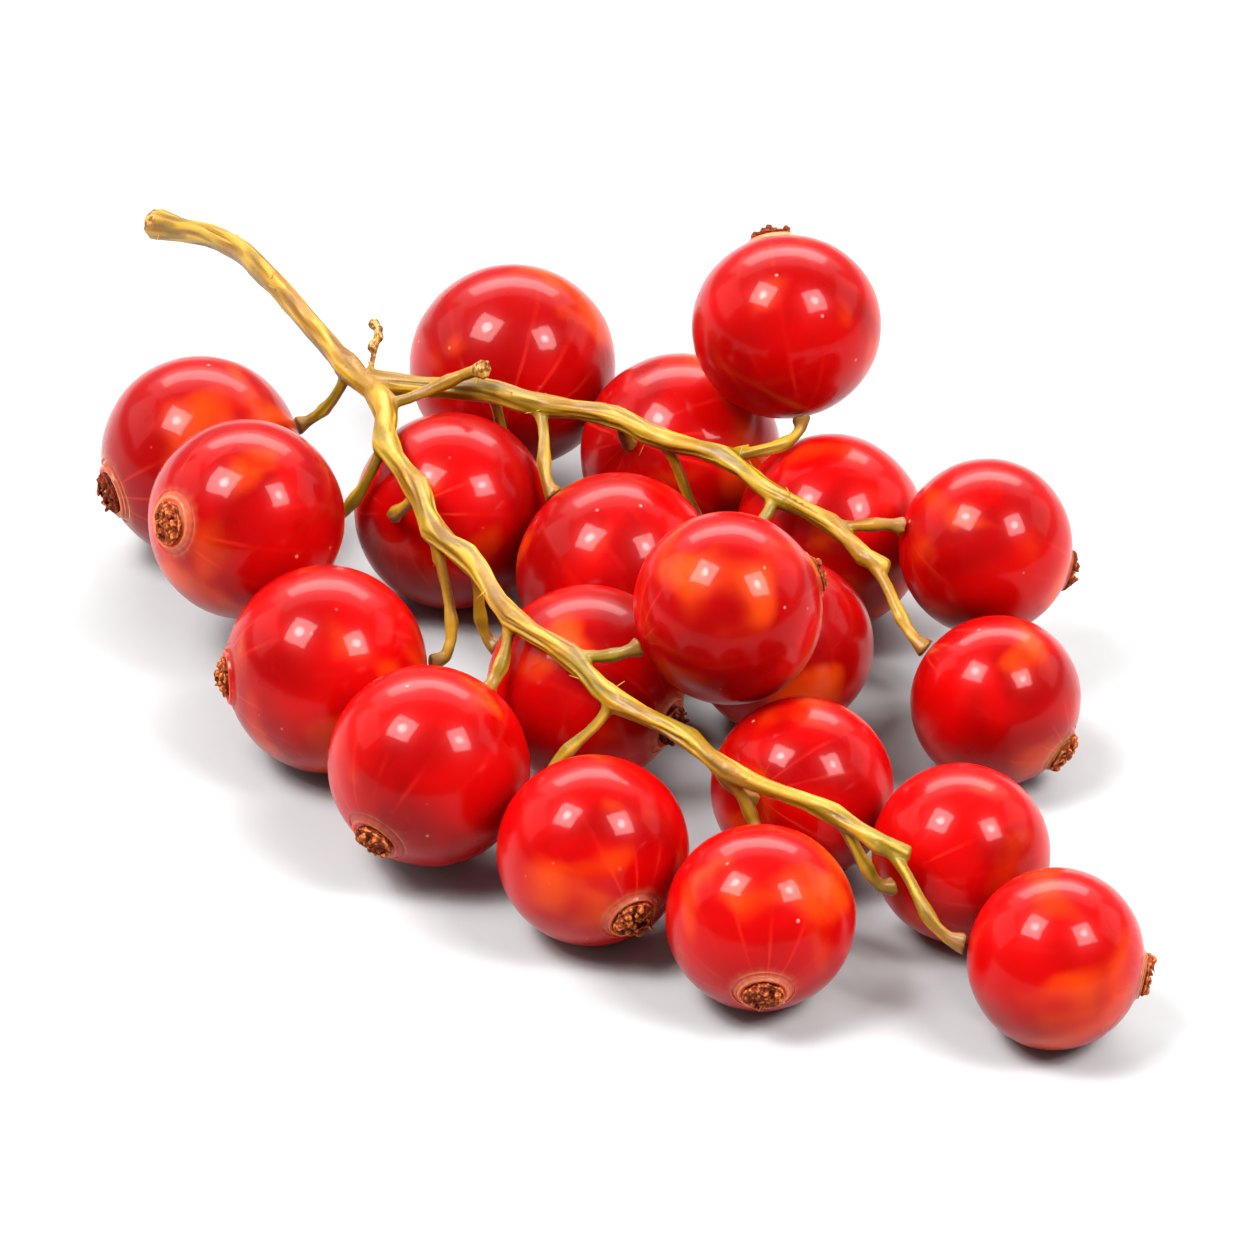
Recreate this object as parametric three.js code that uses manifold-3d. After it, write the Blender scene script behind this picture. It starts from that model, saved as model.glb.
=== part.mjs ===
// A sprig of ripe redcurrants as picked, lying on a flat surface at z = 0. Millimetres, +Z up.
// The cut end of the stem points along -X and the tips along +X. The origin is on the surface,
// under the middle of the sprig.
// The green stem is one body: a stalk that forks into two arms, with a short stalk (a pedicel)
// for each berry. Each berry is a body of its own, and so is the dry brown flower on its far end.

import * as THREE from "three";
import { mergeVertices } from "three/addons/utils/BufferGeometryUtils.js";
import Module from "manifold-3d";

const wasm = await Module();
wasm.setup();

// The berries
const berryAcrossAtFork = 10.6;
const berryAcrossAtTip = 8.4;
const berrySizeSpread = 0.45;
const berryHeightShare = 0.97; // pole to pole, as a share of the width
const berrySides = 16;
const berryRings = 10;
const berryPress = 0.3; // how far a berry that bears weight is pressed flat on the surface
const poleDimple = { depth: 0.25, angle: 0.26 };
const steepestHang = -0.5; // a berry's far end points down no further than this, as a sine
const berryLean = { each: 0.45, up: 0.3 }; // how far its far end strays from its pedicel's way
const pedicelTurn = { high: 62, side: 112, spread: 13 }; // degrees from straight up, round the stem

// The stem
const stemRadius = { cutEnd: 0.64, fork: 0.53, tip: 0.36 };
const heel = { swell: 0.35, length: 1.8 }; // the stalk widens where it left its branch
const knuckle = { swell: 0.38, length: 1.0 }; // the stem is thicker where a pedicel leaves
const crook = 0.3; // and bends there, by this much to each side in turn
const pedicelRadius = 0.28;
const pedicelReach = 4.8; // from the stem to the berry's skin
const pedicelReachSpread = 0.7;
const pedicelSlack = 1.8; // and this much less where its berry is pushed in towards the stem
const collar = { radius: 0.54, share: 0.14 }; // the flare where a pedicel meets its berry
const bract = { radius: 0.36, length: 1.5, sides: 4 };
const stemSides = 8;
const pedicelSides = 6;
const stemStep = 1.4; // length of one straight piece of the stem
const pedicelSteps = 8;
const joint = { swell: 0.4, length: 0.45, share: 0.6 }; // the ring part of the way up a pedicel
const deadFlower = { length: 3, radius: 0.17, grains: 5, grainRadius: 0.3 }; // it dried up in the fork

// The dry flower at a berry's far end
const flower = { radius: 1.08, height: 0.6, sides: 8, sepals: 5, sepalLength: 0.8, sepalRadius: 0.5 };

const clearance = 0.12; // between bodies that touch on the real sprig
const up = new THREE.Vector3(0, 0, 1);
const alongBerry = new THREE.Vector3(0, 1, 0); // in a berry's own frame, from its pedicel to its flower

// The stalk runs from its cut end, through the fork, to the tip of the long arm. Berries are
// counted from the fork. High ones stand above the stem, and a bare pedicel has lost its berry.
const fork = new THREE.Vector3(-17, 1, 9.2);
const longArm = {
  line: new THREE.CatmullRomCurve3([
    new THREE.Vector3(-42, 9, 4.6),
    new THREE.Vector3(-34, 7.5, 7.2),
    new THREE.Vector3(-26, 4, 8.9),
    fork,
    new THREE.Vector3(-7, -5, 9.6),
    new THREE.Vector3(6, -9, 9.3),
    new THREE.Vector3(18, -9.5, 8.6),
    new THREE.Vector3(28, -7, 7),
  ]),
  berries: 13,
  high: [7],
  bare: [1],
  firstAt: 0.34,
  firstSide: -1,
  radiusAtStart: stemRadius.cutEnd,
};
const shortArm = {
  line: new THREE.CatmullRomCurve3([
    fork,
    new THREE.Vector3(-9, 5, 9.9),
    new THREE.Vector3(1, 8, 9.6),
    new THREE.Vector3(12, 8.5, 8),
  ]),
  berries: 8,
  high: [6],
  bare: [],
  firstAt: 0.2,
  firstSide: 1,
  radiusAtStart: stemRadius.fork,
};

// A repeatable random number, from -width to width
let seed = 11;
function wander(width) {
  seed = (seed + 0x6d2b79f5) | 0;
  let t = Math.imul(seed ^ (seed >>> 15), 1 | seed);
  t = (t + Math.imul(t ^ (t >>> 7), 61 | t)) ^ t;
  return (((t ^ (t >>> 14)) >>> 0) / 2147483648 - 1) * width;
}

// The berries of one arm, before they settle, and the arm's own crooked curve. Pedicels leave it
// to the left and the right in turn.
function growArm(arm) {
  const bends = [];
  for (let u = 0; u < arm.firstAt - 0.06; u += 0.1) bends.push(arm.line.getPointAt(u));
  arm.grown = [];
  for (let k = 0; k < arm.berries; k++) {
    const along = k / (arm.berries - 1);
    const at = Math.min(0.985, THREE.MathUtils.lerp(arm.firstAt, 0.985, along) + wander(0.012));
    const forward = arm.line.getTangentAt(at);
    const left = up.clone().cross(forward).normalize();
    const over = forward.clone().cross(left);
    const side = k % 2 ? -arm.firstSide : arm.firstSide;
    const rises = arm.high.includes(k) || arm.bare.includes(k);
    const degrees = (rises ? pedicelTurn.high : pedicelTurn.side) + wander(pedicelTurn.spread);
    const turn = THREE.MathUtils.degToRad(degrees * side);
    const root = arm.line.getPointAt(at).addScaledVector(left, side * crook);
    const outward = left.multiplyScalar(Math.sin(turn)).addScaledVector(over, Math.cos(turn));
    outward.multiplyScalar(0.88).addScaledVector(forward, 0.45 + wander(0.2)).normalize();
    const isLast = k === arm.berries - 1;
    if (isLast) outward.copy(forward);
    const shrink = along ** 1.4;
    const across = THREE.MathUtils.lerp(berryAcrossAtFork, berryAcrossAtTip, shrink) + wander(berrySizeSpread);
    const radius = across / 2;
    const reach = pedicelReach + wander(pedicelReachSpread);
    const home = root.clone().addScaledVector(outward, reach + radius);
    const lean = new THREE.Vector3(wander(berryLean.each), wander(berryLean.each), wander(berryLean.each));
    lean.z += berryLean.up;
    bends.push(root);
    const spin = wander(Math.PI);
    const isBare = arm.bare.includes(k);
    const slack = isLast ? 0.3 : pedicelSlack;
    arm.grown.push({ root, forward, radius, reach, slack, home, centre: home.clone(), lean, spin, isBare });
  }
  bends.push(arm.line.getPointAt(1));
  arm.curve = new THREE.CatmullRomCurve3(bends);
}

// Which way a berry's far end points, and how its pedicel runs to it
function pose(berry) {
  const hang = berry.centre.clone().sub(berry.root).normalize().add(berry.lean).normalize();
  hang.z = Math.max(hang.z, steepestHang);
  berry.axis = hang.normalize();
  berry.foot = berry.centre.clone().addScaledVector(berry.axis, -berry.radius * berryHeightShare);
  const length = berry.foot.distanceTo(berry.root);
  const leaving = berry.foot.clone().sub(berry.root).normalize().addScaledVector(berry.forward, 0.5).normalize();
  berry.pedicel = new THREE.CubicBezierCurve3(
    berry.root,
    berry.root.clone().addScaledVector(leaving, length * 0.35),
    berry.foot.clone().addScaledVector(berry.axis, -length * 0.35),
    berry.foot,
  );
}

// The balls that stand for a berry, its flower and its pedicel while the berries settle
function ballsOf(berry) {
  const farEnd = berry.radius * berryHeightShare + flower.height / 2;
  const balls = [
    { at: berry.centre, radius: berry.radius, solid: true },
    { at: berry.centre.clone().addScaledVector(berry.axis, farEnd), radius: flower.radius + 0.25, solid: true },
  ];
  for (const u of [0.3, 0.5, 0.7, 0.85])
    balls.push({ at: berry.pedicel.getPoint(u), radius: pedicelRadius + 0.1, solid: false });
  return balls;
}

// Moves two berries apart if a ball of one is in a ball of the other. Pedicels may cross.
function keepApart(a, b) {
  for (const p of ballsOf(a))
    for (const q of ballsOf(b)) {
      if (!p.solid && !q.solid) continue;
      const way = p.at.clone().sub(q.at);
      const short = p.radius + q.radius + clearance - way.length();
      if (short <= 0) continue;
      way.setLength(short / 2);
      a.centre.add(way);
      b.centre.sub(way);
    }
}

// Lets the berries sink to rest, each held by its own pedicel, clear of the others, of the stem
// and of the surface
function settle(berries, stemPoints) {
  const rounds = 500;
  for (let round = 0; round < rounds; round++) {
    const fall = 0.09 * (1 - round / rounds) + 0.07;
    for (const berry of berries) {
      berry.centre.lerp(berry.home, 0.012);
      berry.centre.z -= fall;
      const rope = berry.centre.clone().sub(berry.root);
      const longest = berry.radius + berry.reach;
      rope.multiplyScalar(0.985).clampLength(longest - berry.slack, longest);
      berry.centre.copy(berry.root).add(rope);
      pose(berry);
    }
    berries.forEach((a, i) => berries.slice(i + 1).forEach((b) => keepApart(a, b)));
    for (const berry of berries) {
      pose(berry);
      for (const ball of ballsOf(berry).filter((b) => b.solid)) {
        for (const point of stemPoints) {
          const way = ball.at.clone().sub(point);
          const short = ball.radius + stemRadius.cutEnd + 0.25 - way.length();
          if (short > 0) berry.centre.add(way.setLength(short));
        }
        const above = ball.at.z - ball.radius;
        const lowest = ball.at === berry.centre ? -berryPress : 0.2;
        if (above < lowest) berry.centre.z += lowest - above;
      }
    }
  }
  for (const berry of berries) {
    if (berry.centre.z < berry.radius) berry.centre.z = berry.radius - berryPress;
    pose(berry);
  }
}

// A closed geometry as a solid
function solidOf(geometry) {
  const bare = geometry.clone();
  bare.deleteAttribute("normal");
  bare.deleteAttribute("uv");
  const merged = mergeVertices(bare, 1e-4);
  return new wasm.Manifold(
    new wasm.Mesh({
      numProp: 3,
      vertProperties: merged.attributes.position.array,
      triVerts: new Uint32Array(merged.index.array),
    }),
  );
}

// A solid as a geometry
function geometryOf(solid) {
  const mesh = solid.getMesh();
  const geometry = new THREE.BufferGeometry();
  geometry.setAttribute("position", new THREE.BufferAttribute(new Float32Array(mesh.vertProperties), 3));
  geometry.setIndex(new THREE.BufferAttribute(new Uint32Array(mesh.triVerts), 1));
  geometry.computeVertexNormals();
  return geometry;
}

const joined = (solids) => solids.reduce((whole, solid) => whole.add(solid));

// A round limb along a curve. radiusAt gives its radius for each share of the length.
function limb(curve, radiusAt, sides, steps) {
  const geometry = new THREE.CylinderGeometry(1, 1, 1, sides, steps);
  const frames = curve.computeFrenetFrames(steps);
  const place = geometry.attributes.position;
  for (let i = 0; i < place.count; i++) {
    const along = 0.5 - place.getY(i);
    const row = Math.round(along * steps);
    const radius = radiusAt(along);
    const point = curve.getPointAt(along);
    point.addScaledVector(frames.normals[row], place.getX(i) * radius);
    point.addScaledVector(frames.binormals[row], place.getZ(i) * radius);
    place.setXYZ(i, point.x, point.y, point.z);
  }
  return solidOf(geometry);
}

// How much a swelling adds at a distance from its middle
const bulge = (swelling, distance) => swelling.swell * Math.exp(-((distance / swelling.length) ** 2));

// An arm, which tapers to its tip and swells at its start and at each pedicel
function armSolid(arm) {
  const length = arm.curve.getLength();
  const roots = arm.grown.map((berry) => berry.root);
  const radiusAt = (along) => {
    const plain = THREE.MathUtils.lerp(arm.radiusAtStart, stemRadius.tip, along);
    const point = arm.curve.getPointAt(along);
    const nearest = Math.min(...roots.map((root) => root.distanceTo(point)));
    return plain * (1 + bulge(heel, along * length) + bulge(knuckle, nearest));
  };
  return limb(arm.curve, radiusAt, stemSides, Math.round(length / stemStep));
}

// A pedicel, which flares into a collar short of its berry's skin
function pedicelSolid(berry) {
  const reached = berry.pedicel.getLength() - clearance;
  const end = berry.pedicel.getPointAt(reached / berry.pedicel.getLength());
  const short = new THREE.CubicBezierCurve3(berry.pedicel.v0, berry.pedicel.v1, berry.pedicel.v2, end);
  const radiusAt = (along) => {
    const flare = Math.max(0, (along - 1 + collar.share) / collar.share);
    const ring = bulge(joint, (along - joint.share) * reached);
    return THREE.MathUtils.lerp(pedicelRadius * (1 + ring), collar.radius, flare);
  };
  return limb(short, radiusAt, pedicelSides, pedicelSteps);
}

// The small scale leaf under a pedicel
function bractSolid(berry) {
  const geometry = new THREE.ConeGeometry(bract.radius, bract.length, bract.sides);
  const leaving = berry.pedicel.getTangent(0).lerp(berry.forward, -0.6).normalize();
  geometry.translate(0, bract.length / 2 + 0.2, 0);
  geometry.applyQuaternion(new THREE.Quaternion().setFromUnitVectors(alongBerry, leaving));
  geometry.translate(berry.root.x, berry.root.y, berry.root.z);
  return solidOf(geometry);
}

// A flower that set no fruit: a dead thread with grains at its end, on top of the fork
function deadFlowerSolids() {
  const tip = fork.clone().add(new THREE.Vector3(-0.35, 0.6, 0.75).multiplyScalar(deadFlower.length));
  const middle = fork.clone().lerp(tip, 0.5).add(new THREE.Vector3(0.5, 0, 0.5));
  const thread = new THREE.QuadraticBezierCurve3(fork, middle, tip);
  const solids = [limb(thread, () => deadFlower.radius, 5, 5)];
  for (let k = 0; k < deadFlower.grains; k++) {
    const grain = new THREE.IcosahedronGeometry(deadFlower.grainRadius * (1 + wander(0.25)), 0);
    const place = thread.getPoint(1 - k * 0.13);
    grain.translate(place.x + wander(0.15), place.y + wander(0.15), place.z + wander(0.15));
    solids.push(solidOf(grain));
  }
  return solids;
}

// A berry in its own frame, its flower end at the top
function berryGeometry(berry) {
  const profile = [];
  for (let ring = 0; ring <= berryRings; ring++) {
    const angle = (ring / berryRings) * Math.PI;
    const fromPole = Math.min(angle, Math.PI - angle);
    const dip = poleDimple.depth * Math.exp(-((fromPole / poleDimple.angle) ** 2));
    const out = berry.radius - dip;
    const onAxis = ring === 0 || ring === berryRings;
    profile.push(new THREE.Vector2(onAxis ? 0 : out * Math.sin(angle), -out * Math.cos(angle) * berryHeightShare));
  }
  return new THREE.LatheGeometry(profile, berrySides);
}

// Cuts off what a placed mesh has below the surface
function trimmed(mesh) {
  mesh.updateMatrixWorld(true);
  const below = new THREE.BoxGeometry(20, 20, 20);
  below.translate(mesh.position.x, mesh.position.y, -10);
  below.applyMatrix4(mesh.matrixWorld.clone().invert());
  return geometryOf(solidOf(mesh.geometry).subtract(solidOf(below)));
}

// The dry flower in a berry's frame, standing on the skin: a cup with the withered sepals on its rim
function flowerGeometry(berry) {
  const base = berry.radius * berryHeightShare - poleDimple.depth + clearance;
  const cup = new THREE.LatheGeometry(
    [
      new THREE.Vector2(0, 0),
      new THREE.Vector2(flower.radius * 0.7, 0),
      new THREE.Vector2(flower.radius, flower.height * 0.45),
      new THREE.Vector2(flower.radius * 0.7, flower.height),
      new THREE.Vector2(0, flower.height * 0.7),
    ],
    flower.sides,
  );
  const solids = [solidOf(cup)];
  for (let k = 0; k < flower.sepals; k++) {
    const sepal = new THREE.ConeGeometry(flower.sepalRadius, flower.sepalLength, 4);
    sepal.scale(0.6, 1, 1);
    sepal.translate(0, flower.sepalLength * 0.3, 0);
    sepal.rotateZ(-0.5 + wander(0.35));
    sepal.translate(flower.radius * 0.62, flower.height * 0.75, 0);
    sepal.rotateY(((k + wander(0.12)) / flower.sepals) * Math.PI * 2);
    solids.push(solidOf(sepal));
  }
  const whole = geometryOf(joined(solids));
  whole.translate(0, base, 0);
  return whole;
}

const stemMaterial = new THREE.MeshStandardMaterial({ color: 0xb7a23e, roughness: 0.6, metalness: 0 });
const berryMaterial = new THREE.MeshStandardMaterial({ color: 0xd3040c, roughness: 0.12, metalness: 0 });
const flowerMaterial = new THREE.MeshStandardMaterial({ color: 0x5b3a1e, roughness: 0.9, metalness: 0 });

const arms = [longArm, shortArm];
arms.forEach(growArm);
const pedicels = arms.flatMap((arm) => arm.grown);
pedicels.forEach(pose);
const berries = pedicels.filter((one) => !one.isBare);
const bare = pedicels.filter((one) => one.isBare);
const stemCurves = [...arms.map((arm) => arm.curve), ...bare.map((one) => one.pedicel)];
settle(berries, stemCurves.flatMap((curve) => curve.getSpacedPoints(40)));

const sprig = new THREE.Group();
const stemSolids = [...arms.map(armSolid), ...deadFlowerSolids()];
for (const one of pedicels) stemSolids.push(pedicelSolid(one), bractSolid(one));
const stem = new THREE.Mesh(geometryOf(joined(stemSolids)), stemMaterial);
stem.name = "stem";
sprig.add(stem);

berries.forEach((berry, index) => {
  const number = String(index + 1).padStart(2, "0");
  const turned = new THREE.Quaternion().setFromUnitVectors(alongBerry, berry.axis);
  turned.multiply(new THREE.Quaternion().setFromAxisAngle(alongBerry, berry.spin));
  const body = new THREE.Mesh(berryGeometry(berry), berryMaterial);
  const dryFlower = new THREE.Mesh(flowerGeometry(berry), flowerMaterial);
  body.name = `berry_${number}`;
  dryFlower.name = `dry_flower_${number}`;
  for (const mesh of [body, dryFlower]) {
    mesh.position.copy(berry.centre);
    mesh.quaternion.copy(turned);
    sprig.add(mesh);
  }
  if (berry.centre.z < berry.radius) body.geometry = trimmed(body);
});

// Puts the origin on the surface, under the middle of the sprig
const extent = new THREE.Box3().setFromObject(sprig, true);
sprig.position.set(-(extent.min.x + extent.max.x) / 2, -(extent.min.y + extent.max.y) / 2, 0);
const part = new THREE.Group();
part.add(sprig);

export default part;
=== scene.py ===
import math
import random

import bpy
import numpy as np
from mathutils import Matrix, Vector
from mathutils.bvhtree import BVHTree
from mathutils.kdtree import KDTree


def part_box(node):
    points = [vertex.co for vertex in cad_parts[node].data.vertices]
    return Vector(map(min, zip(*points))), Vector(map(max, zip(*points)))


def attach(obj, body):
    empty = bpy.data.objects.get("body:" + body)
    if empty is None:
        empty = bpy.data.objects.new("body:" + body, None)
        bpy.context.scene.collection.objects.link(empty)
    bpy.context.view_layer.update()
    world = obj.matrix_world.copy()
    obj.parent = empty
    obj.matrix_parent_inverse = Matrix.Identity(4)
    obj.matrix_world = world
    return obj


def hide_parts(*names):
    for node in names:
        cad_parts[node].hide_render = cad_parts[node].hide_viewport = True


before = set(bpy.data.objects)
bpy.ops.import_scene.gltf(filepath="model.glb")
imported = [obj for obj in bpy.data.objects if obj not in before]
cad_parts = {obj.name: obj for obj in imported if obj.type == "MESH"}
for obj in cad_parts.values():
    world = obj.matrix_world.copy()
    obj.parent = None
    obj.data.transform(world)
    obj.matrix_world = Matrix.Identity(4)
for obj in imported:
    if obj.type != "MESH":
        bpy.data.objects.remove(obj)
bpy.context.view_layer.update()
bpy.ops.object.select_all(action="DESELECT")
berryCount = sum(name.startswith("berry_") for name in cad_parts)
print("loaded the frame with", berryCount, "berries")


# helpers
def activate(obj):
    bpy.ops.object.select_all(action="DESELECT")
    obj.select_set(True)
    bpy.context.view_layer.objects.active = obj


def addModifier(obj, kind, **values):
    modifier = obj.modifiers.new(kind.lower(), kind)
    for key, value in values.items():
        setattr(modifier, key, value)


def applyModifiers(obj):
    activate(obj)
    for modifier in list(obj.modifiers):
        bpy.ops.object.modifier_apply(modifier=modifier.name)


def joinOnto(obj, others):
    activate(obj)
    for other in others:
        other.select_set(True)
    bpy.ops.object.join()


def copyOf(obj, name):
    made = obj.copy()
    made.data = obj.data.copy()
    made.name = made.data.name = name
    bpy.context.scene.collection.objects.link(made)
    return made


def turnTo(way):
    # turns an upright piece so that its top points that way
    return way.to_track_quat("Z", "Y").to_matrix().to_4x4()


def placeInMesh(obj, matrix):
    # the object stays at the origin, and its place goes into its mesh
    obj.matrix_world = matrix
    activate(obj)
    bpy.ops.object.transform_apply(location=True, rotation=True, scale=True)


def cloudTexture(name, scale, depth=2):
    texture = bpy.data.textures.new(name, "CLOUDS")
    texture.noise_scale = scale
    texture.noise_depth = depth
    texture.noise_basis = "IMPROVED_PERLIN"
    return texture


class NodeSheet:
    # a material's node tree, with short ways to add nodes and link them
    def __init__(self, name):
        self.material = bpy.data.materials.new(name)
        self.material.use_nodes = True
        self.tree = self.material.node_tree
        self.shader = self.tree.nodes["Principled BSDF"]

    def add(self, kind, inputs=None, **values):
        node = self.tree.nodes.new(kind)
        for key, value in values.items():
            setattr(node, key, value)
        for key, value in (inputs or {}).items():
            self.plug(value, node.inputs[key])
        return node

    def plug(self, value, socket):
        # links another node's output, or sets a plain value
        if isinstance(value, bpy.types.NodeSocket):
            self.tree.links.new(value, socket)
        else:
            socket.default_value = value

    def maths(self, operation, first, second=0.0, third=0.0):
        node = self.add("ShaderNodeMath", {0: first, 1: second, 2: third}, operation=operation)
        return node.outputs[0]

    def noise(self, vector, scale, detail=2.0, rough=0.5, distortion=0.0):
        inputs = {"Vector": vector, "Scale": scale, "Detail": detail}
        inputs.update({"Roughness": rough, "Distortion": distortion})
        return self.add("ShaderNodeTexNoise", inputs).outputs["Fac"]

    def between(self, value, low, high, fromValue=0.0, toValue=1.0):
        # a soft step: fromValue up to low, toValue from high on
        inputs = {"Value": value, "From Min": low, "From Max": high}
        inputs.update({"To Min": fromValue, "To Max": toValue})
        node = self.add("ShaderNodeMapRange", inputs, interpolation_type="SMOOTHSTEP")
        return node.outputs["Result"]

    def blend(self, share, first, second):
        # a Mix node's colour sockets are the seventh and eighth, and its colour comes out third
        node = self.add("ShaderNodeMix", data_type="RGBA")
        for index, value in ((0, share), (6, first), (7, second)):
            self.plug(value, node.inputs[index])
        return node.outputs[2]

    def bump(self, height, strength, distance):
        inputs = {"Height": height, "Strength": strength, "Distance": distance}
        return self.add("ShaderNodeBump", inputs).outputs["Normal"]

    def finish(self, **sockets):
        for key, value in sockets.items():
            self.plug(value, self.shader.inputs[key.replace("_", " ")])
        return self.material


# camera, floor and light
cameraSettings = {
    "azimuth": 45.0,
    "elevation": 34.0,
    "lens": 200.0,
    "distance": 0.341,
    "target": (0.0039, 0.0009, 0.0043),
    "sensor": 36.0,
    "nearest": 0.01,
    "farthest": 20.0,
}
lightSettings = {
    # each lamp's way from the sprig, as the camera sees it: to the right, above and in front,
    # then its distance, width, height, roll in degrees and power
    "lamps": {
        "left": ((-0.45, 0.63, 0.63), 0.5, 0.23, 0.23, 28, 4.0),
        "leftCore": ((-0.45, 0.63, 0.63), 0.49, 0.08, 0.08, 0, 0.9),
        "right": ((0.55, 0.46, 0.69), 0.5, 0.20, 0.21, -24, 3.1),
        "rightCore": ((0.55, 0.46, 0.69), 0.49, 0.07, 0.07, 0, 0.65),
        "back": ((0.0, 0.96, -0.28), 0.5, 0.55, 0.15, 0, 2.3),
        "top": ((0.0, 1.0, -0.22), 0.6, 1.0, 0.45, 0, 2.2),
        "leftSide": ((-0.86, 0.50, 0.05), 0.5, 0.38, 0.26, 0, 0.5),
        "rightSide": ((0.87, 0.50, 0.0), 0.5, 0.34, 0.24, 0, 0.4),
    },
    "skyStrength": 0.22,
}
floorSettings = {
    "size": 4.0,
    "colour": (0.35, 0.35, 0.353, 1.0),
    "roughness": (0.56, 0.64),
    "grainScale": 900.0,
}


def makeCamera(s):
    azimuth, elevation = math.radians(s["azimuth"]), math.radians(s["elevation"])
    back = Vector((math.sin(azimuth), -math.cos(azimuth), math.tan(elevation))).normalized()
    bpy.ops.object.camera_add(location=Vector(s["target"]) + back * s["distance"])
    camera = bpy.context.object
    camera.name = "photoCamera"
    camera.rotation_euler = (-back).to_track_quat("-Z", "Y").to_euler()
    camera.data.lens = s["lens"]
    camera.data.sensor_width = s["sensor"]
    camera.data.clip_start, camera.data.clip_end = s["nearest"], s["farthest"]
    bpy.context.scene.camera = camera
    bpy.context.view_layer.update()
    return camera


def makeLights(s, camera):
    turn = camera.matrix_world.to_3x3()
    for name, (towards, distance, width, height, roll, power) in s["lamps"].items():
        way = (turn @ Vector(towards)).normalized()
        bpy.ops.object.light_add(type="AREA", location=way * distance)
        light = bpy.context.object
        light.name = name + "Lamp"
        rolled = turnTo(way) @ Matrix.Rotation(math.radians(roll), 4, "Z")
        light.rotation_euler = rolled.to_euler()
        light.data.shape = "ELLIPSE" if name.endswith("Core") else "RECTANGLE"
        light.data.size, light.data.size_y = width, height
        light.data.energy = power
    world = bpy.data.worlds.new("paleStudio")
    bpy.context.scene.world = world
    world.use_nodes = True
    background = world.node_tree.nodes["Background"]
    background.inputs["Color"].default_value = (1.0, 1.0, 1.0, 1.0)
    background.inputs["Strength"].default_value = s["skyStrength"]
    bpy.context.scene.view_settings.view_transform = "Standard"


def makeFloor(s):
    bpy.ops.mesh.primitive_plane_add(size=s["size"], location=(0, 0, 0))
    floor = bpy.context.object
    floor.name = "paleFloor"
    sheet = NodeSheet("palePaper")
    place = sheet.add("ShaderNodeTexCoord").outputs["Object"]
    grain = sheet.noise(place, s["grainScale"], 3.0)
    rough = sheet.between(grain, 0.3, 0.7, *s["roughness"])
    floor.data.materials.append(sheet.finish(Base_Color=s["colour"], Roughness=rough))


camera = makeCamera(cameraSettings)
makeLights(lightSettings, camera)
makeFloor(floorSettings)
print("camera, floor and light are in place")

# berries
berrySettings = {
    "radius": 0.005,  # of the one that is modelled and copied
    "segments": 80,
    "rings": 56,
    "heightShare": 0.97,
    "dimpleDepth": 0.00027,
    "dimpleReach": 0.0022,
    # loops round the flower's foot: how far out each one runs, and how far it is lifted or sunk
    "lip": [
        (0.00190, 0.0),
        (0.00175, -0.00002),
        (0.00162, -0.00007),
        (0.00152, -0.00006),
        (0.00142, 0.00005),
        (0.00133, 0.00015),
        (0.00124, 0.00015),
        (0.00115, 0.00003),
        (0.00104, -0.00005),
    ],
    "onLoop": 0.00001,
    "cutExactly": 0.0000001,
    "unevenness": 0.00013,
    "unevenScale": 0.004,
    "flatSpotMargin": 0.00004,
    "smoothBelow": 40,  # degrees between two faces
    "grownWidth": 1.008,  # of the visible berry, as a share of the one in the frame
    "roundHeight": 0.985,
    "seed": 7,
    # colours of the flesh and of what shows in the skin
    "deep": (0.23, 0.0003, 0.0005, 1.0),
    "bright": (0.39, 0.0006, 0.0007, 1.0),
    # painted glow: orange in place of light that comes through the flesh
    "paintedGlow": (0.72, 0.085, 0.003, 1.0),
    "vein": (0.82, 0.05, 0.03, 1.0),
    "halo": (0.86, 0.30, 0.15, 1.0),
    "speck": (0.95, 0.55, 0.45, 1.0),
    # how fine each pattern is: the higher, the finer
    "toneScale": 55.0,
    "patchScale": 170.0,
    "glowScale": 240.0,
    "wobbleScale": 420.0,
    "fadeScale": 300.0,
    "haloScale": 90.0,
    "speckScale": 800.0,
    "rippleScale": 700.0,
    "dullScale": 350.0,
    # how strongly each one shows, and the number of veins and of rays in the halo
    "paintedGlowShare": 0.5,
    "veinShare": 0.24,
    "haloShare": (0.05, 0.55),
    "speckShare": 0.4,
    "veins": 14.0,
    "rays": 19.0,
    "rippleStrength": 0.09,
    "rippleHeight": 0.0001,
    "roughness": (0.27, 0.35),
    "mirror": 1.22,
    "mirrorTint": (1.0, 0.35, 0.35, 1.0),
    "scatter": 0.0034,
    "scatterByColour": (1.0, 0.18, 0.09),
    "wax": 0.35,
    "waxRoughness": 0.05,
    "waxMirror": 1.33,
}


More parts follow.
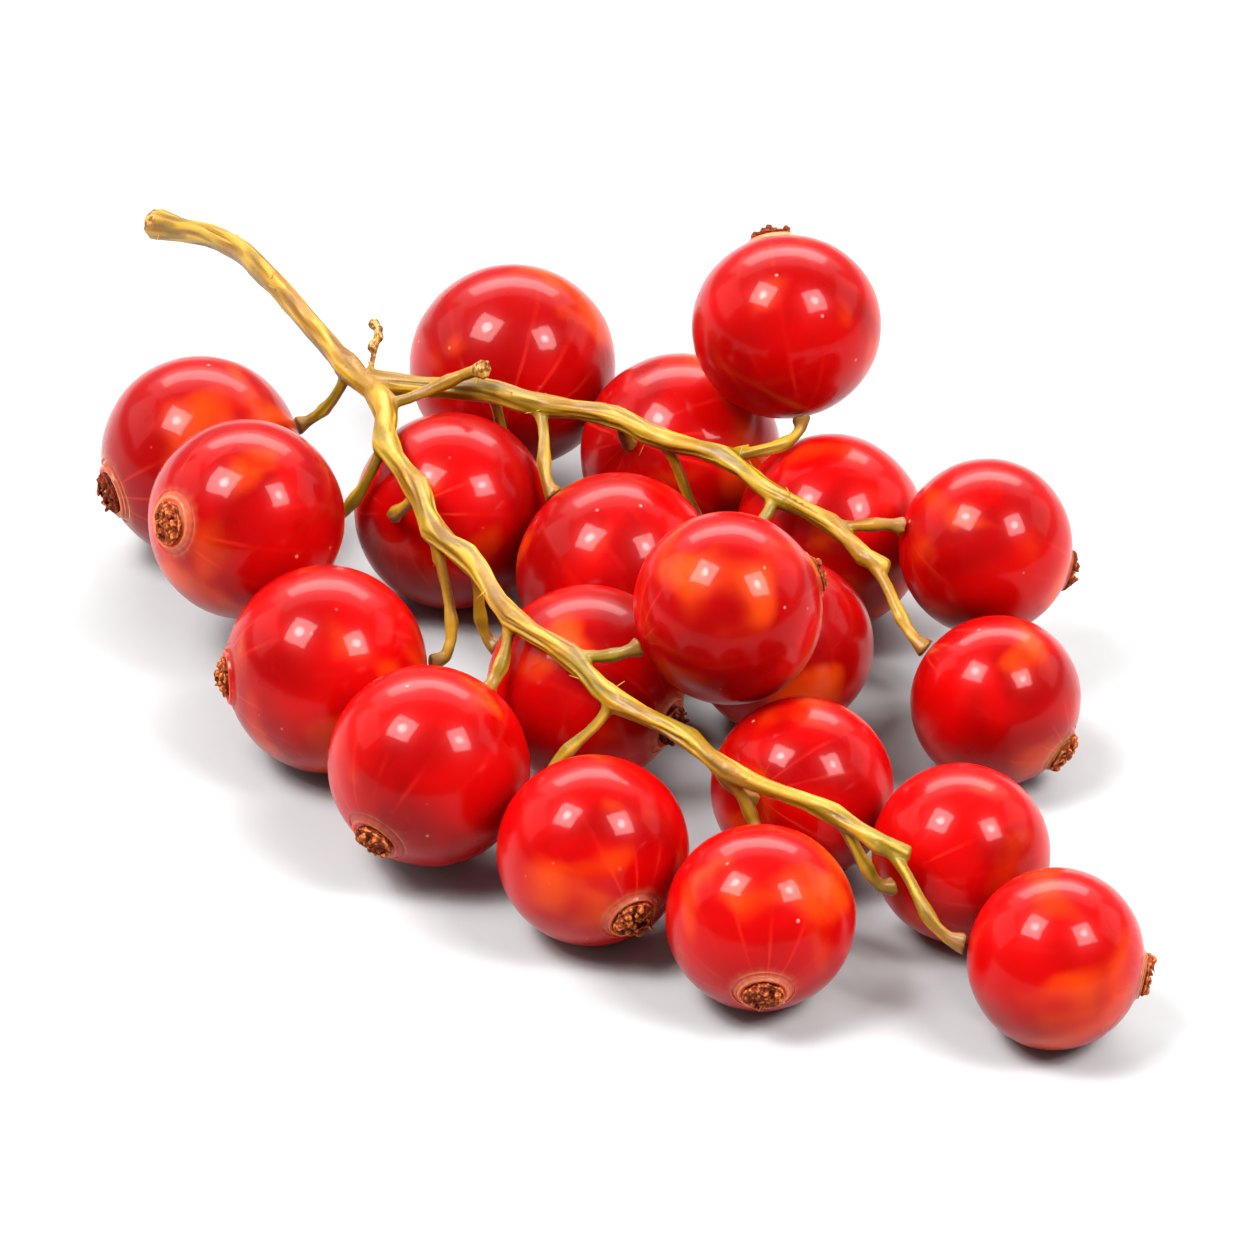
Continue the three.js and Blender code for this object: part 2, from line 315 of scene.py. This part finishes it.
def skinMaterial(s):
    sheet = NodeSheet("currantSkin")
    coords = sheet.add("ShaderNodeTexCoord")
    place, across = coords.outputs["Object"], coords.outputs["UV"]
    parts = sheet.add("ShaderNodeSeparateXYZ", {"Vector": across}).outputs
    longitude, latitude = parts["X"], parts["Y"]

    # flesh: slow changes from deep to bright red, with a painted orange glow in random patches
    # standing in for light that comes through
    tone = sheet.maths("SUBTRACT", sheet.noise(place, s["toneScale"], 0.0), 0.5)
    patches = sheet.noise(place, s["patchScale"], 2.0, 0.5, 0.4)
    slow = sheet.maths("MULTIPLY_ADD", tone, 0.55, patches)
    colour = sheet.blend(sheet.between(slow, 0.34, 0.66), s["deep"], s["bright"])
    # painted glow of light through the flesh, in random orange patches
    glow = sheet.noise(place, s["glowScale"], 1.6, 0.45, 0.35)
    paintedGlowShare = sheet.between(glow, 0.55, 0.76, 0.0, s["paintedGlowShare"])
    colour = sheet.blend(paintedGlowShare, colour, s["paintedGlow"])

    # faint veins from pole to pole, fainter near the equator
    wobble = sheet.noise(place, s["wobbleScale"], 2.0)
    wayRound = sheet.maths("MULTIPLY", longitude, s["veins"] * math.tau)
    line = sheet.maths("SINE", sheet.maths("MULTIPLY_ADD", wobble, 0.9, wayRound))
    fade = sheet.between(sheet.noise(place, s["fadeScale"], 1.0), 0.42, 0.64, 0.0, s["veinShare"])
    fromEquator = sheet.maths("ABSOLUTE", sheet.maths("SUBTRACT", latitude, 0.5))
    fade = sheet.maths("MULTIPLY", fade, sheet.between(fromEquator, 0.08, 0.42, 0.15, 1.0))
    veinShare = sheet.maths("MULTIPLY", sheet.between(line, 0.86, 1.0), fade)
    colour = sheet.blend(veinShare, colour, s["vein"])

    # the pale halo round the flower, in short rays
    rays = sheet.maths("SINE", sheet.maths("MULTIPLY", longitude, s["rays"] * math.tau))
    ragged = sheet.maths("MULTIPLY_ADD", rays, 0.003, sheet.maths("MULTIPLY", wobble, 0.06))
    reach = sheet.maths("ADD", latitude, ragged)
    strength = sheet.between(sheet.noise(place, s["haloScale"], 0.0), 0.35, 0.65, *s["haloShare"])
    haloShare = sheet.maths("MULTIPLY", sheet.between(reach, 0.895, 0.985), strength)
    colour = sheet.blend(haloShare, colour, s["halo"])

    # a few pale specks
    cells = sheet.add("ShaderNodeTexVoronoi", {"Vector": place, "Scale": s["speckScale"]})
    dot = sheet.between(cells.outputs["Distance"], 0.03, 0.10, 1.0, 0.0)
    chosen = sheet.add("ShaderNodeSeparateXYZ", {"Vector": cells.outputs["Color"]}).outputs["X"]
    picked = sheet.between(chosen, 0.74, 0.9, 0.0, s["speckShare"])
    colour = sheet.blend(sheet.maths("MULTIPLY", dot, picked), colour, s["speck"])

    ripple = sheet.noise(place, s["rippleScale"], 2.0)
    height = sheet.maths("MULTIPLY_ADD", veinShare, -0.35, ripple)
    dull = sheet.noise(place, s["dullScale"], 2.0)
    return sheet.finish(
        Base_Color=colour,
        Roughness=sheet.between(dull, 0.3, 0.7, *s["roughness"]),
        Normal=sheet.bump(height, s["rippleStrength"], s["rippleHeight"]),
        IOR=s["mirror"],
        Specular_Tint=s["mirrorTint"],
        Subsurface_Weight=1.0,
        Subsurface_Radius=s["scatterByColour"],
        Subsurface_Scale=s["scatter"],
        Coat_Weight=s["wax"],
        Coat_Roughness=s["waxRoughness"],
        Coat_IOR=s["waxMirror"],
    )


def modelBerry(s):
    bpy.ops.mesh.primitive_uv_sphere_add(
        segments=s["segments"], ring_count=s["rings"], radius=s["radius"], location=(0, 0, 0)
    )
    berry = bpy.context.object
    berry.name = "berryPattern"
    # the lip round the flower's foot and the groove outside it
    bpy.ops.object.mode_set(mode="EDIT")
    for away, _ in s["lip"]:
        bpy.ops.mesh.select_all(action="SELECT")
        height = math.sqrt(s["radius"] ** 2 - away**2)
        bpy.ops.mesh.bisect(plane_co=(0, 0, height), plane_no=(0, 0, 1), threshold=s["cutExactly"])
    bpy.ops.object.mode_set(mode="OBJECT")
    for vertex in berry.data.vertices:
        for away, lift in s["lip"]:
            if vertex.co.z > 0 and abs(vertex.co.xy.length - away) < s["onLoop"]:
                vertex.co.z += lift
                break
    # slightly flattened, then a dimple drawn in at each pole
    bpy.ops.object.mode_set(mode="EDIT")
    bpy.ops.mesh.select_all(action="SELECT")
    bpy.ops.transform.resize(value=(1, 1, s["heightShare"]))
    justBelowPole = s["radius"] * s["heightShare"] * 0.9999
    for pole in (1, -1):
        bpy.ops.object.mode_set(mode="OBJECT")
        for vertex in berry.data.vertices:
            vertex.select = vertex.co.z * pole > justBelowPole
        bpy.ops.object.mode_set(mode="EDIT")
        bpy.ops.transform.translate(
            value=(0, 0, -pole * s["dimpleDepth"]),
            use_proportional_edit=True,
            proportional_edit_falloff="SMOOTH",
            proportional_size=s["dimpleReach"],
        )
    bpy.ops.object.mode_set(mode="OBJECT")
    addModifier(
        berry,
        "DISPLACE",
        texture=cloudTexture("berryUneven", s["unevenScale"]),
        strength=s["unevenness"],
        texture_coords="LOCAL",
        mid_level=0.5,
    )
    applyModifiers(berry)
    bpy.ops.object.shade_smooth()
    return berry


def berryPlace(number):
    # its centre, radius and the way its flower points, from the CAD boxes
    low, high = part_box(f"berry_{number:02d}")
    flowerLow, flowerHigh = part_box(f"dry_flower_{number:02d}")
    s = berrySettings
    width = ((high.x - low.x) + (high.y - low.y)) / 2 * s["grownWidth"]
    centre = (low + high) / 2
    centre.z = high.z - width / 2 * s["roundHeight"]
    axis = ((flowerLow + flowerHigh) / 2 - centre).normalized()
    return centre, width / 2, axis


def trimFlatSpot(berry, s):
    # what a berry would have below the surface is cut off flat
    activate(berry)
    if min(vertex.co.z for vertex in berry.data.vertices) > s["flatSpotMargin"]:
        return
    bpy.ops.object.mode_set(mode="EDIT")
    bpy.ops.mesh.select_all(action="SELECT")
    bpy.ops.mesh.bisect(
        plane_co=(0, 0, s["flatSpotMargin"]),
        plane_no=(0, 0, 1),
        use_fill=True,
        clear_inner=True,
        threshold=s["cutExactly"],
    )
    bpy.ops.object.mode_set(mode="OBJECT")
    bpy.ops.object.shade_smooth_by_angle(angle=math.radians(s["smoothBelow"]))


def makeBerries(s, material):
    pattern = modelBerry(s)
    pattern.data.materials.append(material)
    rng = random.Random(s["seed"])
    for number in range(1, berryCount + 1):
        centre, radius, axis = berryPlace(number)
        berry = copyOf(pattern, f"currant_{number:02d}")
        spin = Matrix.Rotation(rng.uniform(0, math.tau), 4, "Z")
        size = Matrix.Scale(radius / s["radius"], 4)
        placeInMesh(berry, Matrix.Translation(centre) @ turnTo(axis) @ spin @ size)
        trimFlatSpot(berry, s)
        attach(berry, "root")
        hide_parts(f"berry_{number:02d}")
    bpy.data.objects.remove(pattern)


makeBerries(berrySettings, skinMaterial(berrySettings))
print("berries are made")

# withered flowers
flowerSettings = {
    "patterns": 4,
    # metres and radians; each reach and height on the cup is a share of the cup's own
    "cupRadius": 0.00101,
    "cupHeight": 0.00052,
    "cupFoot": 0.80,
    "cupSides": 20,
    "sepals": 5,
    "sepalSlip": 0.22,
    "sepalLength": 0.00092,
    "sepalShares": (0.75, 1.1),
    "sepalWidth": 0.00080,
    "sepalTip": 0.30,
    "sepalFlatness": 0.34,
    "sepalLean": (-1.55, -0.75),
    "sepalRoll": 0.35,
    "sepalReach": 0.86,
    "sepalHeights": (0.7, 0.95),
    "grains": 11,
    "grainTurn": 2.4,
    "grainSlip": 0.4,
    "grainReach": 0.82,
    "grainRadius": (0.00013, 0.00022),
    "grainHeights": (1.0, 1.35),
    "threads": 5,
    "threadLength": (0.00035, 0.00050),
    "threadWidth": 0.00022,
    "threadTip": 0.6,
    "threadLean": (-0.3, 1.0),
    "threadReach": (0.1, 0.8),
    "threadHeight": 0.85,
    "voxel": 0.000045,
    "crumple": 0.00032,
    "crumpleScale": 0.00034,
    "openAngle": 2.6,
    "closedAngle": 0.5,
    "sizes": (0.94, 1.10),
    "footAlong": 0.97,
    "sink": 0.00035,
    "seed": 31,
    # the flower's own dark brown, and painted shade in its hollows
    "darkBrownAndShade": (0.050, 0.004, 0.001, 1.0),
    "brown": (0.20, 0.026, 0.004, 1.0),
    "tan": (0.56, 0.165, 0.038, 1.0),
    "foldScale": 3000.0,
    "tipScale": 6500.0,
    "reliefStrength": 0.9,
    "reliefHeight": 0.0001,
    "roughness": 0.8,
    "mirror": 1.25,
}


def flowerMaterial(s):
    sheet = NodeSheet("witheredFlower")
    place = sheet.add("ShaderNodeTexCoord").outputs["Object"]
    # painted shade: the hollows are nearly black, and the raised folds and edges tan; the random
    # folds also give the flower's own dark brown
    raised = sheet.add("ShaderNodeAttribute", attribute_name="hollows").outputs["Fac"]
    folds = sheet.noise(place, s["foldScale"], 4.0, 0.65, 0.6)
    mixed = sheet.maths("MULTIPLY_ADD", sheet.maths("SUBTRACT", folds, 0.5), 0.7, raised)
    colour = sheet.blend(sheet.between(mixed, 0.33, 0.55), s["darkBrownAndShade"], s["brown"])
    colour = sheet.blend(sheet.between(mixed, 0.56, 0.82, 0.0, 0.9), colour, s["tan"])
    tips = sheet.noise(place, s["tipScale"], 3.0, 0.6)
    relief = sheet.maths("ADD", folds, tips)
    return sheet.finish(
        Base_Color=colour,
        Roughness=s["roughness"],
        Normal=sheet.bump(relief, s["reliefStrength"], s["reliefHeight"]),
        IOR=s["mirror"],
    )


def addCone(length, width, narrow, flat=1.0):
    # stands on the origin, narrowed at its top and flattened across x
    bpy.ops.mesh.primitive_cone_add(
        vertices=12,
        radius1=width / 2,
        radius2=width / 2 * narrow,
        depth=length,
        location=(0, 0, length / 2),
    )
    cone = bpy.context.object
    cone.scale = (flat, 1.0, 1.0)
    bpy.ops.object.transform_apply(scale=True, location=True, rotation=True)
    return cone


def addSepals(s, rng):
    sepals = []
    for k in range(s["sepals"]):
        slip = rng.uniform(-s["sepalSlip"], s["sepalSlip"])
        length = s["sepalLength"] * rng.uniform(*s["sepalShares"])
        sepal = addCone(length, s["sepalWidth"], s["sepalTip"], s["sepalFlatness"])
        lean = Matrix.Rotation(rng.uniform(*s["sepalLean"]), 4, "Y")
        roll = Matrix.Rotation(rng.uniform(-s["sepalRoll"], s["sepalRoll"]), 4, "Z")
        up = s["cupHeight"] * rng.uniform(*s["sepalHeights"])
        root = Matrix.Translation((s["cupRadius"] * s["sepalReach"], 0, up))
        turn = Matrix.Rotation((k + slip) / s["sepals"] * math.tau, 4, "Z")
        placeInMesh(sepal, turn @ root @ lean @ roll)
        sepals.append(sepal)
    return sepals


def addGrains(s, rng):
    # spread over the cup in a spiral
    grains = []
    for k in range(s["grains"]):
        around = k * s["grainTurn"] + rng.uniform(-s["grainSlip"], s["grainSlip"])
        away = s["cupRadius"] * s["grainReach"] * math.sqrt((k + 0.5) / s["grains"])
        radius = rng.uniform(*s["grainRadius"])
        up = s["cupHeight"] * rng.uniform(*s["grainHeights"])
        place = (away * math.cos(around), away * math.sin(around), up)
        bpy.ops.mesh.primitive_uv_sphere_add(segments=12, ring_count=8, radius=radius, location=place)
        grains.append(bpy.context.object)
    return grains


def addThreads(s, rng):
    threads = []
    for _ in range(s["threads"]):
        thread = addCone(rng.uniform(*s["threadLength"]), s["threadWidth"], s["threadTip"])
        lean = Matrix.Rotation(rng.uniform(*s["threadLean"]), 4, "Y")
        away = s["cupRadius"] * rng.uniform(*s["threadReach"])
        root = Matrix.Translation((away, 0, s["cupHeight"] * s["threadHeight"]))
        turn = Matrix.Rotation(rng.uniform(0, math.tau), 4, "Z")
        placeInMesh(thread, turn @ root @ lean)
        threads.append(thread)
    return threads


def modelFlower(s, rng, name):
    # a short cup, withered sepals folded in over it, and dry grains and threads between them
    bpy.ops.mesh.primitive_cone_add(
        vertices=s["cupSides"],
        radius1=s["cupRadius"] * s["cupFoot"],
        radius2=s["cupRadius"],
        depth=s["cupHeight"],
        location=(0, 0, s["cupHeight"] / 2),
    )
    cup = bpy.context.object
    cup.name = name
    parts = addSepals(s, rng) + addGrains(s, rng) + addThreads(s, rng)
    joinOnto(cup, parts)
    bpy.ops.object.transform_apply(location=True, rotation=True, scale=True)
    addModifier(cup, "REMESH", mode="VOXEL", voxel_size=s["voxel"])
    addModifier(
        cup,
        "DISPLACE",
        texture=cloudTexture(name + "Crumple", s["crumpleScale"], 3),
        strength=s["crumple"],
        texture_coords="LOCAL",
        mid_level=0.5,
    )
    addModifier(cup, "SMOOTH", factor=0.35, iterations=1)
    applyModifiers(cup)
    bpy.ops.object.shade_smooth()
    markHollows(cup, s)
    return cup


def markHollows(obj, s):
    # keeps how open or closed in the surface is at each corner of the mesh, for the painted shade in
    # the hollows
    obj.data.color_attributes.new("hollows", "FLOAT_COLOR", "CORNER")
    obj.data.color_attributes.active_color_index = 0
    activate(obj)
    bpy.ops.object.mode_set(mode="VERTEX_PAINT")
    bpy.ops.paint.vertex_color_dirt(
        blur_strength=1.0,
        blur_iterations=1,
        clean_angle=s["openAngle"],
        dirt_angle=s["closedAngle"],
    )
    bpy.ops.object.mode_set(mode="OBJECT")


def makeFlowers(s, material):
    rng = random.Random(s["seed"])
    patterns = [modelFlower(s, rng, f"flowerPattern{k}") for k in range(s["patterns"])]
    for number in range(1, berryCount + 1):
        centre, radius, axis = berryPlace(number)
        flower = copyOf(patterns[-number % len(patterns)], f"driedFlower_{number:02d}")
        flower.data.materials.append(material)
        spin = Matrix.Rotation(rng.uniform(0, math.tau), 4, "Z")
        foot = Matrix.Translation(centre + axis * (radius * s["footAlong"] - s["sink"]))
        size = Matrix.Diagonal((*[rng.uniform(*s["sizes"]) for _ in range(3)], 1))
        placeInMesh(flower, foot @ turnTo(axis) @ spin @ size)
        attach(flower, "root")
        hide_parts(f"dry_flower_{number:02d}")
    for pattern in patterns:
        bpy.data.objects.remove(pattern)


makeFlowers(flowerSettings, flowerMaterial(flowerSettings))
print("withered flowers are made")

# stem
stemSettings = {
    "mergeWithin": 0.000001,
    "voxel": 0.000093,
    "fullness": 0.00003,
    "knobbly": 0.00005,
    "knobSize": 0.0009,
    "smoothing": 9,
    "grooves": 0.000020,
    "deepest": 2.4,
    "grooveHops": (-0.00033, -0.00021, -0.00012, 0.0, 0.00012, 0.00021, 0.00033),
    "grooveSteps": 15,
    "jointReach": 0.0016,
    "hairs": 34,
    "hairLength": (0.0004, 0.0009),
    "hairWidth": 0.00008,
    "hairTip": 0.25,
    "hairFlatness": 0.6,
    "hairRoot": 0.0001,
    "hairUpright": 0.7,
    "hairClear": 0.0004,
    "hairAboveFloor": 0.001,
    "seed": 5,
    # places that are dry, and how far each reaches
    "witheredFlower": ((-0.01652, 0.00325, 0.0111), 0.0019),
    "bareEnd": ((-0.0098, 0.0049, 0.0118), 0.0011),
    "cutEndReach": 0.0011,
    "dryRaggedness": 0.0012,
    "pale": (0.39, 0.220, 0.014, 1.0),
    "olive": (0.225, 0.101, 0.001, 1.0),
    "green": (0.172, 0.114, 0.002, 1.0),
    # painted shade for the grooves, and the colour of random dark blotches
    "grooveShadeAndBlotch": (0.115, 0.045, 0.002, 1.0),
    "joint": (0.16, 0.060, 0.008, 1.0),
    "dry": (0.10, 0.032, 0.006, 1.0),
    "crumb": (0.50, 0.27, 0.055, 1.0),
    "patchScale": 160.0,
    "blotchScale": 900.0,
    "crumbScale": 4200.0,
    "reliefStrength": 0.45,
    "reliefHeight": 0.0001,
    "roughness": 0.42,
    "mirror": 1.4,
    "scatter": 0.0006,
    "scatterShare": 0.25,
}


def stemMaterial(s, drySpots):
    sheet = NodeSheet("currantStem")
    place = sheet.add("ShaderNodeTexCoord").outputs["Object"]
    streaks = sheet.add("ShaderNodeAttribute", attribute_name="grooves").outputs["Fac"]
    slow = sheet.noise(place, s["patchScale"], 2.0)
    colour = sheet.blend(sheet.between(slow, 0.38, 0.62), s["olive"], s["green"])
    colour = sheet.blend(sheet.between(streaks, 0.45, 0.72, 0.0, 0.85), colour, s["pale"])
    # painted shade: the grooves are darkened
    colour = sheet.blend(sheet.between(streaks, 0.16, 0.42, 0.70, 0.0), colour, s["grooveShadeAndBlotch"])
    blotch = sheet.noise(place, s["blotchScale"], 3.0, 0.6)
    uneven = sheet.maths("SUBTRACT", blotch, 0.5)
    # random dark blotches, in the colour of the painted groove shade
    colour = sheet.blend(sheet.between(blotch, 0.60, 0.76, 0.0, 0.45), colour, s["grooveShadeAndBlotch"])
    # hairs, and the joints before the berries
    colour = sheet.blend(sheet.between(streaks, 0.0, 0.01, 1.0, 0.0), colour, s["crumb"])
    joints = sheet.add("ShaderNodeAttribute", attribute_name="joints").outputs["Fac"]
    joints = sheet.maths("MULTIPLY_ADD", uneven, 0.8, joints)
    colour = sheet.blend(sheet.between(joints, 0.15, 0.75, 0.0, 0.75), colour, s["joint"])
    # the withered flower in the fork, the bare pedicel's end and the cut end are dry
    crumbs = sheet.between(sheet.noise(place, s["crumbScale"], 3.0, 0.6), 0.42, 0.62)
    withered = sheet.blend(crumbs, s["dry"], s["crumb"])
    for spot, reach in drySpots:
        away = sheet.add("ShaderNodeVectorMath", {0: place, 1: Vector(spot)}, operation="DISTANCE")
        ragged = sheet.maths("MULTIPLY_ADD", uneven, s["dryRaggedness"], away.outputs["Value"])
        dryShare = sheet.between(ragged, reach * 0.55, reach, 0.92, 0.0)
        colour = sheet.blend(dryShare, colour, withered)
    relief = sheet.maths("ADD", streaks, blotch)
    return sheet.finish(
        Base_Color=colour,
        Roughness=s["roughness"],
        Normal=sheet.bump(relief, s["reliefStrength"], s["reliefHeight"]),
        IOR=s["mirror"],
        Subsurface_Weight=s["scatterShare"],
        Subsurface_Scale=s["scatter"],
    )


def waysAlong(cad, points):
    # a CAD face is half of a long rectangle, so its middle side in length runs along the limb
    places = np.array([vertex.co for vertex in cad.vertices])
    corners = np.array([face.vertices for face in cad.polygons])
    sides = places[np.roll(corners, -1, axis=1)] - places[corners]
    middle = np.argsort(np.linalg.norm(sides, axis=2), axis=1)[:, 1]
    along = sides[np.arange(len(sides)), middle]
    along /= np.linalg.norm(along, axis=1)[:, None]
    faces = BVHTree.FromPolygons(places.tolist(), corners.tolist())
    return along[[faces.find_nearest(point)[2] for point in points]]


def keepMark(mesh, name, values):
    mesh.attributes.new(name, "FLOAT", "POINT").data.foreach_set("value", values)


def pullGrooves(mesh, cad, s):
    # fine grooves along every limb: random heights, evened out between points that lie along it
    places = np.array([vertex.co for vertex in mesh.vertices])
    normals = np.array([vertex.normal for vertex in mesh.vertices])
    ways = waysAlong(cad, places)
    near = KDTree(len(places))
    for index, point in enumerate(places):
        near.insert(point, index)
    near.balance()
    hops = np.array(
        [[near.find(point)[1] for point in places + ways * hop] for hop in s["grooveHops"]]
    )
    heights = np.random.default_rng(s["seed"]).normal(size=len(places))
    for _ in range(s["grooveSteps"]):
        heights = heights[hops].mean(axis=0)
    heights = (heights - heights.mean()) / heights.std()
    heights = np.clip(heights, -s["deepest"], s["deepest"])
    places += normals * (heights * s["grooves"])[:, None]
    mesh.vertices.foreach_set("co", places.ravel())
    # near 0 in a groove and near 1 on a ridge; the hairs get no mark, which reads as 0
    keepMark(mesh, "grooves", heights * 0.2 + 0.5)
    mesh.update()
    return places


def markJoints(mesh, places, s):
    # 1 where a pedicel meets its berry, and 0 from the joint's reach on
    away = np.full(len(places), s["jointReach"])
    for number in range(1, berryCount + 1):
        centre, radius, axis = berryPlace(number)
        pole = np.array(centre - axis * radius)
        away = np.minimum(away, np.linalg.norm(places - pole, axis=1))
    keepMark(mesh, "joints", 1 - away / s["jointReach"])


def addHairs(stem, s):
    # broken hairs and shreds of bark, clear of the berries
    rng = random.Random(s["seed"])
    berries = [berryPlace(number) for number in range(1, berryCount + 1)]
    hairs = []
    while len(hairs) < s["hairs"]:
        vertex = rng.choice(stem.data.vertices)
        length = rng.uniform(*s["hairLength"])
        aside = Vector((rng.uniform(-1, 1), rng.uniform(-1, 1), rng.uniform(-1, 1)))
        way = (vertex.normal * s["hairUpright"] + aside).normalized()
        tip = vertex.co + way * length
        gap = min((tip - centre).length - radius for centre, radius, _ in berries)
        if gap < s["hairClear"] or tip.z < s["hairAboveFloor"]:
            continue
        hair = addCone(length + s["hairRoot"], s["hairWidth"], s["hairTip"], s["hairFlatness"])
        root = Matrix.Translation(vertex.co - way * s["hairRoot"])
        placeInMesh(hair, root @ turnTo(way))
        hairs.append(hair)
    joinOnto(stem, hairs)


def makeStem(s):
    # the CAD stem is merged, made even all over, rounded and then given its knobbly skin
    stem = copyOf(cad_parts["stem"], "greenStem")
    for key in list(stem.keys()):
        del stem[key]
    stem.parent = None
    stem.matrix_world = Matrix.Identity(4)
    stem.data.materials.clear()
    activate(stem)
    bpy.ops.object.mode_set(mode="EDIT")
    bpy.ops.mesh.select_all(action="SELECT")
    bpy.ops.mesh.remove_doubles(threshold=s["mergeWithin"])
    bpy.ops.object.mode_set(mode="OBJECT")
    cad = stem.data.copy()
    addModifier(stem, "REMESH", mode="VOXEL", voxel_size=s["voxel"])
    addModifier(stem, "SMOOTH", factor=0.5, iterations=s["smoothing"])
    addModifier(
        stem,
        "DISPLACE",
        texture=cloudTexture("stemKnobbly", s["knobSize"]),
        strength=s["knobbly"],
        texture_coords="LOCAL",
        mid_level=0.5 - s["fullness"] / s["knobbly"],
    )
    applyModifiers(stem)
    places = pullGrooves(stem.data, cad, s)
    markJoints(stem.data, places, s)
    bpy.data.meshes.remove(cad)
    addHairs(stem, s)
    bpy.ops.object.shade_smooth()
    cutEnd = min((vertex.co for vertex in stem.data.vertices), key=lambda co: co.x).copy()
    drySpots = (s["witheredFlower"], s["bareEnd"], (cutEnd, s["cutEndReach"]))
    stem.data.materials.append(stemMaterial(s, drySpots))
    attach(stem, "root")
    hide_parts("stem")


makeStem(stemSettings)
print("stem is made")
